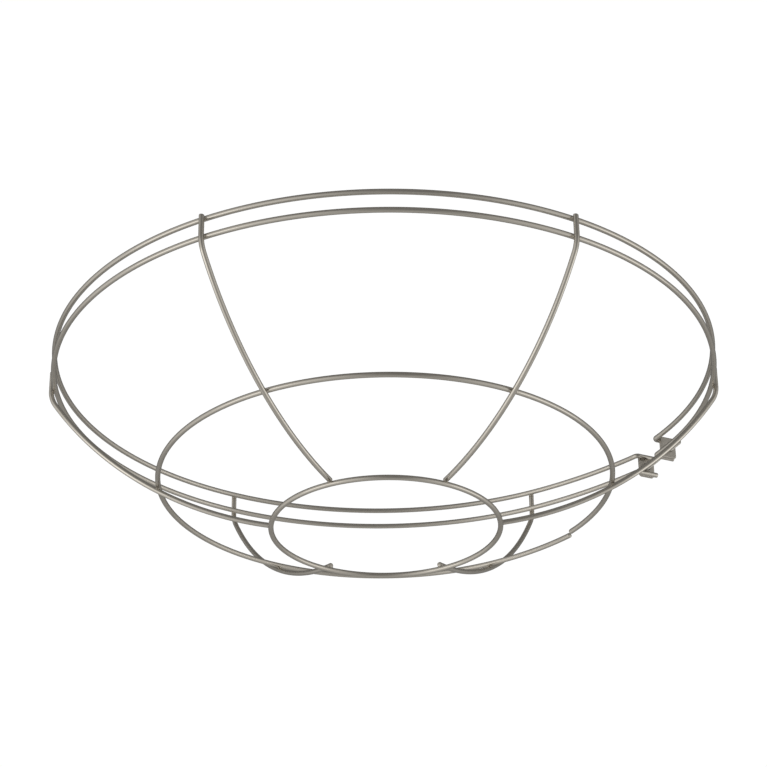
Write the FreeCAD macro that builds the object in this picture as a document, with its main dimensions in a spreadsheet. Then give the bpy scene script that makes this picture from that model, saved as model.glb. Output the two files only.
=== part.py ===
import FreeCAD, Part
import math
import os
import Sketcher

# Wire cage guard for a lamp shade: two split rim wires drawn together by a screw clamp,
# a middle ring, a bottom ring and six ribs, all of one round wire, welded where they cross.
# Millimetres, +Z up. The ring axis is Z, and the bottom ring rests on Z = 0.
# The first rib lies half a degree from +X, and angles run anticlockwise seen from above.

V = FreeCAD.Vector
FULL_TURN = 360

# Driving dimensions: alias, value, what it measures
SIZES = (
    ("wire_diameter", 3.4, "round wire of every ring and rib"),
    ("rim_radius", 215.0, "centre line of both rim wires"),
    ("upper_rim_height", 116.8, "centre line of the upper rim wire above the floor"),
    ("rim_spacing", 12.5, "between the centre lines of the two rim wires"),
    ("middle_ring_radius", 145.5, "centre line of the middle ring"),
    ("middle_ring_height", 33.5, "centre line of the middle ring above the floor"),
    ("bottom_ring_radius", 73.0, "centre line of the bottom ring"),
    ("weld_set_down", 0.4, "how far a wire sinks into what it is welded to"),
    ("rib_rise", 1.7, "rib's cut top above the upper rim's centre line"),
    ("bend_drop", 0.5, "end of the rib's upright run below the lower rim's centre line"),
    ("rib_bend_radius", 18.0, "rib's bend below the lower rim, on its centre line"),
    ("rib_end_past", 1.4, "rib's lower end inside the bottom ring's centre line"),
    ("rib_angle_one", 0.5, "first rib's place round the axis, degrees"),
    ("rib_angle_two", 60.2, "second rib"),
    ("rib_angle_three", 119.4, "third rib"),
    ("rib_angle_four", 179.0, "fourth rib"),
    ("rib_angle_five", 240.0, "fifth rib"),
    ("rib_angle_six", 301.0, "sixth rib"),
    ("rib_lean_one", 0.6, "first rib's turn about its own upright run, degrees"),
    ("rib_lean_two", 0.0, "second rib"),
    ("rib_lean_three", 0.0, "third rib"),
    ("rib_lean_four", 0.0, "fourth rib"),
    ("rib_lean_five", -0.7, "fifth rib"),
    ("rib_lean_six", 0.5, "sixth rib"),
    ("free_from_rib", 3.2, "where split wires spring free, before the second rib, degrees"),
    ("joint_angle", 30.7, "middle ring's open butt joint, degrees"),
    ("joint_gap", 0.4, "between the two cut ends of the middle ring"),
    ("joint_offset", 3.1, "how far the sprung end stands outside the other"),
    ("clamp_angle", 31.8, "clamp's place round the axis, degrees"),
    ("clamp_skew", 7.4, "turn of the clamp plates away from the radius, degrees"),
    ("clamp_standoff", 11.5, "clamp's centre outside the rim's centre line"),
    ("clamp_gap", 29.3, "between the two plates' inner faces"),
    ("bend_radius", 2.5, "rim wire's bend into its tail, on the centre line"),
    ("bend_setback", 7.0, "end of the sprung side's bend inside the clamp's centre"),
    ("tail_past", 0.2, "rim wire's tail beyond the plate's outer edge"),
    ("long_tail_past", 1.4, "the same for the lower rim's sprung end"),
    ("plate_width", 11.7, "clamp plate, along the tails"),
    ("plate_height", 15.5, "clamp plate, upright"),
    ("plate_thickness", 2.4, "clamp plate"),
    ("plate_corner", 2.0, "rounding of the plate's corners"),
    ("tapped_shift", 1.3, "tapped plate and its tails further in than the plain plate's"),
    ("screw_diameter", 4.8, "clamp screw's shank"),
    ("screw_length", 45.5, "clamp screw under its head"),
    ("screw_chamfer", 0.6, "bevel at the screw's tip"),
    ("head_diameter", 9.4, "pan head"),
    ("head_height", 2.8, "pan head"),
    ("head_rim_height", 1.1, "straight side of the pan head"),
    ("slot_width", 1.3, "screwdriver slot"),
    ("slot_depth", 1.3, "screwdriver slot"),
    ("hole_clearance", 0.6, "plain plate's hole over the screw's diameter"),
)
SIZE = {alias: value for alias, value, note in SIZES}
RIBS = ("one", "two", "three", "four", "five", "six")

# Places worked out from the sheet, as expressions
WIRE_RADIUS = "Sizes.wire_diameter / 2"
WELD_REACH = "Sizes.wire_diameter - Sizes.weld_set_down"
UPPER_RIM = "Sizes.upper_rim_height"
LOWER_RIM = "Sizes.upper_rim_height - Sizes.rim_spacing"
RIB_RADIUS = "Sizes.rim_radius + " + WELD_REACH
RIB_TOP = UPPER_RIM + " + Sizes.rib_rise"
BEND_HEIGHT = LOWER_RIM + " - Sizes.bend_drop"
MIDDLE_PLACE = ("Sizes.middle_ring_radius", "Sizes.middle_ring_height")
BOTTOM_PLACE = ("Sizes.bottom_ring_radius", WIRE_RADIUS)
FREE_ANGLE = "Sizes.rib_angle_two - Sizes.free_from_rib"
CLAMP_TURN = "Sizes.clamp_angle - Sizes.clamp_skew"
CLAMP_X = "(Sizes.rim_radius + Sizes.clamp_standoff) * cos(Sizes.clamp_skew)"
CLAMP_Y = "(Sizes.rim_radius + Sizes.clamp_standoff) * sin(Sizes.clamp_skew)"
CLAMP_Z = UPPER_RIM + " - Sizes.rim_spacing / 2"
TAIL_OFFSET = "(Sizes.clamp_gap / 2 - " + WIRE_RADIUS + " + Sizes.weld_set_down)"
PLATE_EDGE_X = CLAMP_X + " + Sizes.plate_width / 2"
TAPPED_EDGE_X = PLATE_EDGE_X + " - Sizes.tapped_shift"
TAPPED_TAIL_PAST = "Sizes.tail_past - Sizes.tapped_shift"
SCREW_SEAT_Y = CLAMP_Y + " + Sizes.clamp_gap / 2 + Sizes.plate_thickness"

doc = FreeCAD.newDocument("CageGuard")


def make_sheet():
    # One row for each size: its alias, value and note
    sheet = doc.addObject("Spreadsheet::Sheet", "Sizes")
    for row, (alias, value, note) in enumerate(SIZES, start=1):
        sheet.set(f"A{row}", alias)
        sheet.set(f"B{row}", str(value))
        sheet.setAlias(f"B{row}", alias)
        sheet.set(f"C{row}", note)
    doc.recompute()
    return sheet


def worth(expression):
    # Present value of an expression on the sheet
    return float(sheet.evalExpression(expression))


def make_body(label, turn):
    # A body turned about the ring axis by the expression turn
    body = doc.addObject("PartDesign::Body", label)
    body.Label = label
    body.Placement.Rotation.Axis = V(0, 0, 1)
    body.setExpression(".Placement.Rotation.Angle", turn)
    return body


def make_sketch(body, name, role, lift="0"):
    # A sketch on one of the body's own planes, lifted along its normal
    sketch = body.newObject("Sketcher::SketchObject", name)
    plane = next(item for item in body.Origin.OriginFeatures if item.Role == role)
    sketch.AttachmentSupport = [(plane, "")]
    sketch.MapMode = "FlatFace"
    sketch.setExpression(".AttachmentOffset.Base.z", lift)
    return sketch


def bind(sketch, kind, where, expression):
    # A dimension bound to the sheet
    value = worth(expression)
    if kind == "Angle":
        value = math.radians(value)
    index = sketch.addConstraint(Sketcher.Constraint(kind, *where, value))
    sketch.setExpression(f"Constraints[{index}]", expression)


def bind_point(sketch, geometry, point, across, up):
    # Both places of a point, measured from the sketch's origin
    bind(sketch, "DistanceX", (-1, 1, geometry, point), across)
    bind(sketch, "DistanceY", (-1, 1, geometry, point), up)


def add_circle(sketch, across, up, radius, construction=False):
    centre = V(worth(across), worth(up), 0)
    circle = sketch.addGeometry(Part.Circle(centre, V(0, 0, 1), worth(radius)), construction)
    bind_point(sketch, circle, 3, across, up)
    bind(sketch, "Radius", (circle,), radius)
    return circle


def polar(radius, angle):
    return V(radius * math.cos(angle), radius * math.sin(angle), 0)


def arc_about(centre, start, end):
    # Anticlockwise arc about centre from start to end
    first = math.atan2(start.y - centre.y, start.x - centre.x)
    last = math.atan2(end.y - centre.y, end.x - centre.x)
    circle = Part.Circle(centre, V(0, 0, 1), (start - centre).Length)
    return Part.ArcOfCircle(circle, first, last)


def join(sketch, *pairs):
    # Smooth joints between the ends of neighbouring lines and arcs
    for first, first_end, second, second_end in pairs:
        sketch.addConstraint(Sketcher.Constraint("Tangent", first, first_end, second, second_end))


def add_spoke(path, target, end, angle):
    # A construction line from the origin that holds an arc's end at an angle
    tip = path.getPoint(target, end)
    spoke = path.addGeometry(Part.LineSegment(V(), tip), True)
    path.addConstraint(Sketcher.Constraint("Coincident", spoke, 1, -1, 1))
    path.addConstraint(Sketcher.Constraint("Coincident", spoke, 2, target, end))
    bind(path, "Angle", (spoke,), angle)


def sweep(body, profile, path):
    wire = body.newObject("PartDesign::AdditivePipe", "Wire")
    wire.Profile = profile
    doc.recompute()
    wire.Spine = (path, [f"Edge{number + 1}" for number in range(len(path.Shape.Edges))])
    doc.recompute()
    return body


def make_bottom_ring():
    # Closed ring: one wire section turned about the axis
    body = make_body("bottom_ring", "0")
    section = make_sketch(body, "Section", "XZ_Plane")
    add_circle(section, "Sizes.bottom_ring_radius", WIRE_RADIUS, WIRE_RADIUS)
    ring = body.newObject("PartDesign::Revolution", "Ring")
    ring.Profile = section
    ring.ReferenceAxis = (section, ["V_Axis"])
    ring.Angle = FULL_TURN
    doc.recompute()
    return body


def make_middle_ring():
    # Split ring: one end stays on the circle, the other springs outward past the second rib
    body = make_body("middle_ring", "Sizes.joint_angle")
    radius = worth("Sizes.middle_ring_radius")
    free = math.radians(worth(FREE_ANGLE + " - Sizes.joint_angle"))
    leave = polar(radius, free)
    tip = V(radius + worth("Sizes.joint_offset"), worth("Sizes.joint_gap"), 0)
    chord = leave - tip
    flare_radius = chord.Length ** 2 / (2 * chord.dot(polar(1, free)))
    path = make_sketch(body, "Path", "XY_Plane", "Sizes.middle_ring_height")
    ring = path.addGeometry(arc_about(V(), leave, V(radius, 0, 0)))
    flare = path.addGeometry(arc_about(leave - polar(flare_radius, free), tip, leave))
    path.addConstraint(Sketcher.Constraint("Coincident", ring, 3, -1, 1))
    bind(path, "Radius", (ring,), "Sizes.middle_ring_radius")
    path.addConstraint(Sketcher.Constraint("PointOnObject", ring, 2, -1))
    add_spoke(path, ring, 1, FREE_ANGLE + " - Sizes.joint_angle")
    join(path, (ring, 1, flare, 2))
    bind_point(path, flare, 1, "Sizes.middle_ring_radius + Sizes.joint_offset", "Sizes.joint_gap")
    section = make_sketch(body, "Section", "XZ_Plane")
    add_circle(section, "Sizes.middle_ring_radius", "Sizes.middle_ring_height", WIRE_RADIUS)
    return sweep(body, section, path)


def add_tail(path, side, carrier, carrier_end, bend_centre, tail_past):
    # Bend and straight tail at one end of the rim, side +1 for the sprung end
    bend_radius = worth("Sizes.bend_radius")
    centre, radius = carrier
    touch = bend_centre + (centre - bend_centre).normalize() * bend_radius
    start = bend_centre - V(0, side * bend_radius, 0)
    tail_end = PLATE_EDGE_X + " + " + tail_past
    ends = (start, touch) if side < 0 else (touch, start)
    bend = path.addGeometry(arc_about(bend_centre, *ends))
    tail = path.addGeometry(Part.LineSegment(start, V(worth(tail_end), start.y, 0)))
    touch_end = 2 if side < 0 else 1
    start_end = 1 if side < 0 else 2
    join(path, (*carrier_end, bend, touch_end), (bend, start_end, tail, 1))
    path.addConstraint(Sketcher.Constraint("Horizontal", tail))
    bind(path, "Radius", (bend,), "Sizes.bend_radius")
    sign = "+" if side > 0 else "-"
    bind_point(path, tail, 2, tail_end, f"{CLAMP_Y} {sign} {TAIL_OFFSET}")
    return tail


def rim_path(body, height, sprung_tail_past):
    # Open rim in the clamp's frame: the true circle, an end that bends straight into its tail,
    # and an end that springs outward past the second rib before it bends
    radius = worth("Sizes.rim_radius")
    bend_radius = worth("Sizes.bend_radius")
    free = math.radians(worth(f"{FREE_ANGLE} - ({CLAMP_TURN})"))
    near_y = worth(f"{CLAMP_Y} - {TAIL_OFFSET}") - bend_radius
    near_x = math.sqrt((radius + bend_radius) ** 2 - near_y ** 2)
    near_centre = V(near_x, near_y, 0)
    far_y = worth(f"{CLAMP_Y} + {TAIL_OFFSET}") + bend_radius
    far_centre = V(worth(CLAMP_X + " - Sizes.bend_setback"), far_y, 0)
    leave = polar(radius, free)
    reach = radius + bend_radius
    slack = far_centre.dot(polar(1, free)) - reach
    back = (far_centre.Length ** 2 - reach ** 2) / (2 * slack)
    flare_centre = polar(back, free)
    flare_radius = radius - back
    far_touch = flare_centre + (far_centre - flare_centre).normalize() * flare_radius
    near_touch = near_centre * (radius / (radius + bend_radius))
    path = make_sketch(body, "Path", "XY_Plane", height)
    ring = path.addGeometry(arc_about(V(), leave, near_touch))
    flare = path.addGeometry(arc_about(flare_centre, far_touch, leave))
    path.addConstraint(Sketcher.Constraint("Coincident", ring, 3, -1, 1))
    bind(path, "Radius", (ring,), "Sizes.rim_radius")
    add_spoke(path, ring, 1, f"{FREE_ANGLE} - ({CLAMP_TURN})")
    join(path, (ring, 1, flare, 2))
    add_tail(path, -1, (V(), radius), (ring, 2), near_centre, TAPPED_TAIL_PAST)
    far_tail = add_tail(path, 1, (flare_centre, flare_radius), (flare, 1), far_centre, sprung_tail_past)
    bind(path, "DistanceX", (-1, 1, far_tail, 1), CLAMP_X + " - Sizes.bend_setback")
    return path


def make_rim(label, height, sprung_tail_past):
    body = make_body(label, CLAMP_TURN)
    path = rim_path(body, height, sprung_tail_past)
    section = make_sketch(body, "Section", "YZ_Plane", TAPPED_EDGE_X + " + Sizes.tail_past")
    add_circle(section, f"{CLAMP_Y} - {TAIL_OFFSET}", height, WIRE_RADIUS)
    return sweep(body, section, path)


def seat(label, blank, wires):
    # What is welded on loses the round of the wires under it from its face
    seated = doc.addObject("Part::Cut", label)
    seated.Label = label
    seated.Base = blank
    seated.Tool = wires
    doc.recompute()
    print(label, "seats take", round(blank.Shape.Volume - seated.Shape.Volume, 2), "mm3")
    return seated


def rib_path(body):
    # Upright run outside the rims, a bend, then one arc that passes outside the middle ring
    # and comes to rest on top of the bottom ring
    radius = worth(RIB_RADIUS)
    reach = worth(WELD_REACH)
    bend_radius = worth("Sizes.rib_bend_radius")
    bend_top = V(radius, worth(BEND_HEIGHT), 0)
    middle = V(*map(worth, MIDDLE_PLACE), 0)
    bottom = V(*map(worth, BOTTOM_PLACE), 0)
    chord = (bend_top - bottom).normalize()
    outward = V(chord.y, -chord.x, 0)
    bend_centre = bend_top - V(bend_radius, 0, 0)
    bend_end = bend_centre + outward * bend_radius
    path = make_sketch(body, "Path", "XZ_Plane")
    upright = path.addGeometry(Part.LineSegment(V(radius, worth(RIB_TOP), 0), bend_top))
    bend = path.addGeometry(arc_about(bend_centre, bend_end, bend_top))
    curve = path.addGeometry(Part.Arc(bottom + V(0, reach, 0), middle + outward * reach, bend_end))
    touched = [add_circle(path, *place, WELD_REACH, True) for place in (MIDDLE_PLACE, BOTTOM_PLACE)]
    path.addConstraint(Sketcher.Constraint("Vertical", upright))
    bind_point(path, upright, 1, RIB_RADIUS, RIB_TOP)
    bind(path, "DistanceY", (-1, 1, upright, 2), BEND_HEIGHT)
    join(path, (upright, 2, bend, 2), (bend, 1, curve, 2))
    bind(path, "Radius", (bend,), "Sizes.rib_bend_radius")
    for circle in touched:
        path.addConstraint(Sketcher.Constraint("Tangent", curve, circle))
    bind(path, "DistanceX", (-1, 1, curve, 1), "Sizes.bottom_ring_radius - Sizes.rib_end_past")
    return path


def make_rib(name, wires):
    # The rib's plane passes its upright run at the rib's angle, and leans from the axis a little
    angle = f"Sizes.rib_angle_{name}"
    leaned = f"({angle} + Sizes.rib_lean_{name})"
    body = make_body(f"rib_{name}_wire", leaned)
    body.setExpression(".Placement.Base.x", f"({RIB_RADIUS}) * (cos({angle}) - cos({leaned}))")
    body.setExpression(".Placement.Base.y", f"({RIB_RADIUS}) * (sin({angle}) - sin({leaned}))")
    path = rib_path(body)
    section = make_sketch(body, "Section", "XY_Plane", RIB_TOP)
    add_circle(section, RIB_RADIUS, "0", WIRE_RADIUS)
    return seat(f"rib_{name}", sweep(body, section, path), wires)


def add_plate_outline(sketch, left, low, right, high, corner):
    # Rectangle with rounded corners, anticlockwise from its lower side
    rounding = worth(corner)
    near = V(worth(left) + rounding, worth(low) + rounding, 0)
    far = V(worth(right) - rounding, worth(high) - rounding, 0)
    centres = (V(far.x, near.y, 0), far, V(near.x, far.y, 0), near)
    quarter = math.pi / 2
    begins = [centre + polar(rounding, (turn - 1) * quarter) for turn, centre in enumerate(centres)]
    finishes = [centre + polar(rounding, turn * quarter) for turn, centre in enumerate(centres)]
    arcs = [sketch.addGeometry(arc_about(*ends)) for ends in zip(centres, begins, finishes)]
    sides = [sketch.addGeometry(Part.LineSegment(finishes[turn - 1], begins[turn])) for turn in range(4)]
    for turn in range(4):
        join(sketch, (sides[turn], 2, arcs[turn], 1), (arcs[turn - 1], 2, sides[turn], 1))
    for level, upright in zip(sides[0::2], sides[1::2]):
        sketch.addConstraint(Sketcher.Constraint("Horizontal", level))
        sketch.addConstraint(Sketcher.Constraint("Vertical", upright))
    for arc in arcs[1:]:
        sketch.addConstraint(Sketcher.Constraint("Equal", arcs[0], arc))
    bind(sketch, "Radius", (arcs[0],), corner)
    for side, kind, place in zip(sides, ("DistanceY", "DistanceX") * 2, (low, right, high, left)):
        bind(sketch, kind, (-1, 1, side, 1), place)


def make_plate_blank(label, side, hole_diameter):
    # Flat clamp plate with the screw's hole, side +1 for the sprung end's plate
    sign = "+" if side > 0 else "-"
    edge = PLATE_EDGE_X if side > 0 else TAPPED_EDGE_X
    body = make_body(label, CLAMP_TURN)
    outline = make_sketch(body, "Outline", "XZ_Plane", f"-({CLAMP_Y} {sign} Sizes.clamp_gap / 2)")
    add_plate_outline(outline, edge + " - Sizes.plate_width",
                      CLAMP_Z + " - Sizes.plate_height / 2", edge,
                      CLAMP_Z + " + Sizes.plate_height / 2", "Sizes.plate_corner")
    add_circle(outline, CLAMP_X, CLAMP_Z, f"({hole_diameter}) / 2")
    plate = body.newObject("PartDesign::Pad", "Plate")
    plate.Profile = outline
    plate.setExpression("Length", "Sizes.plate_thickness")
    plate.Reversed = side > 0
    doc.recompute()
    return body


def add_profile(sketch, places):
    # Closed run of lines through points given as expressions
    corners = [V(worth(across), worth(up), 0) for across, up in places]
    count = len(corners)
    sides = [sketch.addGeometry(Part.LineSegment(corner, corners[(number + 1) % count]))
             for number, corner in enumerate(corners)]
    for number, side in enumerate(sides):
        sketch.addConstraint(Sketcher.Constraint("Coincident", side, 2, sides[(number + 1) % count], 1))
        bind_point(sketch, side, 1, *places[number])


def make_screw():
    # Pan head screw: shank turned about its axis from the tip, then the domed head and its slot
    body = make_body("clamp_screw", CLAMP_TURN)
    tip_y = SCREW_SEAT_Y + " - Sizes.screw_length"
    shank = make_sketch(body, "Shank", "XY_Plane", CLAMP_Z)
    shank.setExpression(".AttachmentOffset.Base.x", CLAMP_X)
    shank.setExpression(".AttachmentOffset.Base.y", tip_y)
    shank_radius = "Sizes.screw_diameter / 2"
    add_profile(shank, (("0", "0"), (shank_radius + " - Sizes.screw_chamfer", "0"),
                        (shank_radius, "Sizes.screw_chamfer"),
                        (shank_radius, "Sizes.screw_length"), ("0", "Sizes.screw_length")))
    turn_about_axis(body, shank, "Turned")
    head = make_sketch(body, "Head", "XY_Plane", CLAMP_Z)
    head.setExpression(".AttachmentOffset.Base.x", CLAMP_X)
    head.setExpression(".AttachmentOffset.Base.y", SCREW_SEAT_Y)
    add_head_profile(head)
    turn_about_axis(body, head, "Domed")
    cut_slot(body)
    return body


def turn_about_axis(body, section, name):
    solid = body.newObject("PartDesign::Revolution", name)
    solid.Profile = section
    solid.ReferenceAxis = (section, ["V_Axis"])
    solid.Angle = FULL_TURN
    doc.recompute()


def add_head_profile(sketch):
    # Flat seat, straight rim and a dome centred on the axis
    radius = worth("Sizes.head_diameter / 2")
    rim = worth("Sizes.head_rim_height")
    crown = worth("Sizes.head_height")
    centre = V(0, (crown ** 2 - rim ** 2 - radius ** 2) / (2 * (crown - rim)), 0)
    corners = (V(0, crown, 0), V(0, 0, 0), V(radius, 0, 0), V(radius, rim, 0))
    sides = [sketch.addGeometry(Part.LineSegment(*ends)) for ends in zip(corners, corners[1:])]
    dome = sketch.addGeometry(arc_about(centre, corners[-1], corners[0]))
    for first, second in zip(sides + [dome], sides[1:] + [dome, sides[0]]):
        sketch.addConstraint(Sketcher.Constraint("Coincident", first, 2, second, 1))
    bind_point(sketch, sides[0], 1, "0", "Sizes.head_height")
    bind_point(sketch, sides[1], 1, "0", "0")
    bind_point(sketch, sides[2], 1, "Sizes.head_diameter / 2", "0")
    bind_point(sketch, dome, 1, "Sizes.head_diameter / 2", "Sizes.head_rim_height")
    sketch.addConstraint(Sketcher.Constraint("PointOnObject", dome, 3, -2))


def cut_slot(body):
    crown_y = f"-({SCREW_SEAT_Y} + Sizes.head_height)"
    slot = make_sketch(body, "Slot", "XZ_Plane", crown_y)
    left = CLAMP_X + " - Sizes.head_diameter"
    right = CLAMP_X + " + Sizes.head_diameter"
    low = CLAMP_Z + " - Sizes.slot_width / 2"
    high = CLAMP_Z + " + Sizes.slot_width / 2"
    add_profile(slot, ((left, low), (right, low), (right, high), (left, high)))
    whole = body.Shape.Volume
    pocket = body.newObject("PartDesign::Pocket", "SlotCut")
    pocket.Profile = slot
    pocket.setExpression("Length", "Sizes.slot_depth")
    pocket.Reversed = True
    doc.recompute()
    print("screw slot takes", round(whole - body.Shape.Volume, 2), "mm3")


def check_document(nodes):
    # Nothing failed, and each node is one valid solid
    for item in doc.Objects:
        if "Invalid" in item.State or "Error" in item.State:
            raise RuntimeError(f"{item.Label} failed: {item.State}")
    for node in nodes:
        shape = node.Shape
        if shape.isNull() or not shape.isValid() or len(shape.Solids) != 1:
            raise RuntimeError(f"{node.Label} is not one valid solid")


def write_nodes(nodes):
    os.makedirs("parts", exist_ok=True)
    for node in nodes:
        node.Shape.exportStep(f"parts/{node.Label}.step")
        print(node.Label, round(node.Shape.Volume, 1), "mm3")


sheet = make_sheet()
bottom_ring = make_bottom_ring()
middle_ring = make_middle_ring()
upper_rim = make_rim("upper_rim_ring", UPPER_RIM, "Sizes.tail_past")
lower_rim = make_rim("lower_rim_ring", LOWER_RIM, "Sizes.long_tail_past")
rings = [bottom_ring, middle_ring, upper_rim, lower_rim]
wires = doc.addObject("Part::Compound", "Rings")
wires.Links = rings
ribs = [make_rib(name, wires) for name in RIBS]
tapped_blank = make_plate_blank("tapped_plate_blank", -1, "Sizes.screw_diameter")
plain_blank = make_plate_blank("plain_plate_blank", 1, "Sizes.screw_diameter + Sizes.hole_clearance")
plates = [seat("tapped_plate", tapped_blank, wires), seat("plain_plate", plain_blank, wires)]
nodes = [*rings, *ribs, *plates, make_screw()]
check_document(nodes)
write_nodes(nodes)
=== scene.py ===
import math
import bpy
import numpy as np
from mathutils import Matrix, Vector


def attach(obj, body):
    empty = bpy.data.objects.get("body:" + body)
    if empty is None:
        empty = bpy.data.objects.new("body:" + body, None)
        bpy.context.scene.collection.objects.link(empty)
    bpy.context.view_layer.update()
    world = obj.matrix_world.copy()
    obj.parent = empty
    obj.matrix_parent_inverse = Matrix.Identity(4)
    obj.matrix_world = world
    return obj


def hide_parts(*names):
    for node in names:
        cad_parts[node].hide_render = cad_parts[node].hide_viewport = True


# Looks of a wire cage guard for a lamp shade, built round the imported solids.
# Shapes are set in millimetres and degrees; camera, lights, floor and finishes in metres.

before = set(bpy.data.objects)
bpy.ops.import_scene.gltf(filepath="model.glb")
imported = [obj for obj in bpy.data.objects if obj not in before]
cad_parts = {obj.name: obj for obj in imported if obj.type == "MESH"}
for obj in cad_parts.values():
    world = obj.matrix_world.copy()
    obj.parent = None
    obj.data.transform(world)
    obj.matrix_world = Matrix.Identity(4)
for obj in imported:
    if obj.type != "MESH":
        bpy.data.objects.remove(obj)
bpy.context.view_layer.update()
mm = 0.001

# one wire for every ring and rib, and the places that the pieces share
cage = {
    "wire": 3.4, "setDown": 0.4,
    "rimRadius": 215.0, "upperRim": 116.8, "rimSpacing": 12.5,
    "middleRadius": 145.5, "middleHeight": 33.5, "bottomRadius": 73.0,
    "freeAngle": 57.0,             # where split wires spring free of the circle
    "clampAngle": 31.8, "clampSkew": 7.4, "clampStandoff": 11.5, "clampGap": 29.3,
    "plateWidth": 11.7, "plateHeight": 15.5, "plateThickness": 2.4, "tappedShift": 1.3,
}
lowerRim = cage["upperRim"] - cage["rimSpacing"]
wireRadius = cage["wire"] / 2
weldReach = cage["wire"] - cage["setDown"]
clampSkew = math.radians(cage["clampSkew"])
clampTurn = math.radians(cage["clampAngle"] - cage["clampSkew"])
clampX = (cage["rimRadius"] + cage["clampStandoff"]) * math.cos(clampSkew)
clampY = (cage["rimRadius"] + cage["clampStandoff"]) * math.sin(clampSkew)
clampZ = cage["upperRim"] - cage["rimSpacing"] / 2
clampAxes = ((math.cos(clampTurn), math.sin(clampTurn), 0),
             (-math.sin(clampTurn), math.cos(clampTurn), 0), (0, 0, 1))
tailOffset = cage["clampGap"] / 2 - wireRadius + cage["setDown"]
plateEdge = clampX + cage["plateWidth"] / 2


def makeCamera():
    # at the photograph's viewing angle: look = (sin yaw cos pitch, cos yaw cos pitch, sin pitch),
    # right = look x Z, up = right x look, the last two turned by the roll
    view = {"place": (-0.01944, -1.42801, -0.66810), "pitch": 28.461, "yaw": 0.78, "roll": -0.7208,
            "lens": 116.28, "sensor": 36.0, "shift": (-0.00065, 0.00065), "clip": (0.05, 60.0)}
    pitch, yaw, roll = (math.radians(view[key]) for key in ("pitch", "yaw", "roll"))
    look = Vector((math.sin(yaw) * math.cos(pitch), math.cos(yaw) * math.cos(pitch),
                   math.sin(pitch)))
    right = look.cross(Vector((0, 0, 1))).normalized()
    up = right.cross(look)
    side = right * math.cos(roll) + up * math.sin(roll)
    top = up * math.cos(roll) - right * math.sin(roll)
    data = bpy.data.cameras.new("photoCamera")
    data.lens, data.sensor_width = view["lens"], view["sensor"]
    data.shift_x, data.shift_y = view["shift"]
    data.clip_start, data.clip_end = view["clip"]
    camera = bpy.data.objects.new("photoCamera", data)
    bpy.context.scene.collection.objects.link(camera)
    turned = Matrix((side, top, -look)).transposed().to_4x4()
    camera.matrix_world = Matrix.Translation(view["place"]) @ turned
    bpy.context.scene.camera = camera


makeCamera()
print("camera stands")


# paths in a plane: each run is (points, directions), both n x 2

pathSteps = {"line": 2.5, "arc": 3.0, "fewest": 8, "widestTurn": 0.12}


def lineRun(start, finish, spacing=pathSteps["line"]):
    # start + t (finish - start), t evenly from 0 to 1; the direction is the same all along
    start, finish = np.asarray(start, float), np.asarray(finish, float)
    length = np.linalg.norm(finish - start)
    t = np.linspace(0, 1, max(2, int(np.ceil(length / spacing)) + 1))[:, None]
    return start + t * (finish - start), np.repeat([(finish - start) / length], len(t), 0)


def arcRun(centre, radius, first, last, spacing=pathSteps["arc"]):
    # centre + radius (cos t, sin t), t evenly from first to last; direction is its derivative's
    turn = abs(last - first)
    steps = max(pathSteps["fewest"], int(np.ceil(turn * radius / spacing)),
                int(turn / pathSteps["widestTurn"]))
    t = np.linspace(first, last, steps + 1)
    points = np.asarray(centre) + radius * np.column_stack([np.cos(t), np.sin(t)])
    return points, np.sign(last - first) * np.column_stack([-np.sin(t), np.cos(t)])


def joinRuns(*runs):
    # end to end, each joint's double point left out
    points = np.vstack([runs[0][0]] + [run[0][1:] for run in runs[1:]])
    return points, np.vstack([runs[0][1]] + [run[1][1:] for run in runs[1:]])


def angleOf(v):
    # the turn whose tangent is y / x
    return math.atan2(v[1], v[0])


def polar(radius, angle):
    # radius (cos angle, sin angle)
    return radius * np.array([math.cos(angle), math.sin(angle)])


# surfaces: each is (points, faces, straight), straight being the point's place on the wire laid out

def putMesh(name, points, faces, smoothAngle=None):
    # points x mm into a new object at the origin
    mesh = bpy.data.meshes.new(name)
    mesh.from_pydata((points * mm).tolist(), [], faces)
    mesh.shade_smooth()
    if smoothAngle:
        mesh.set_sharp_from_angle(angle=math.radians(smoothAngle))
    mesh.update()
    piece = bpy.data.objects.new(name, mesh)
    bpy.context.scene.collection.objects.link(piece)
    return piece


def gridFaces(rows, columns, closedRows=False, closedColumns=True):
    # quads between neighbouring rows and columns: corner number = row x columns + column
    r = np.arange(rows if closedRows else rows - 1)
    c = np.arange(columns if closedColumns else columns - 1)
    r, c = np.meshgrid(r, c, indexing="ij")
    nextRow, nextColumn = (r + 1) % rows, (c + 1) % columns
    quads = np.stack([r * columns + c, r * columns + nextColumn,
                      nextRow * columns + nextColumn, nextRow * columns + c], -1)
    return quads.reshape(-1, 4).tolist()


def endFaces(rows, columns):
    # one polygon over the first row and one over the last, wound as the grid's quads are
    last = (rows - 1) * columns
    return [list(range(columns))[::-1], list(range(last, last + columns))]


def turnFaces(faces):
    # the same faces, seen from their other side
    return [face[::-1] for face in faces]


def putAttribute(piece, name, values):
    # one number or one vector for each point
    kind, field = ("FLOAT", "value") if values.ndim == 1 else ("FLOAT_VECTOR", "vector")
    attribute = piece.data.attributes.new(name, kind, "POINT")
    attribute.data.foreach_set(field, values.astype(np.float32).ravel())


wireMesh = {"around": 32, "edgeTurns": (0, 18, 36, 54, 72, 90), "faceRings": (0.66, 0.33),
            "faceRise": (0.6, 1.0), "clearOfEdge": 1.2}


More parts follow.
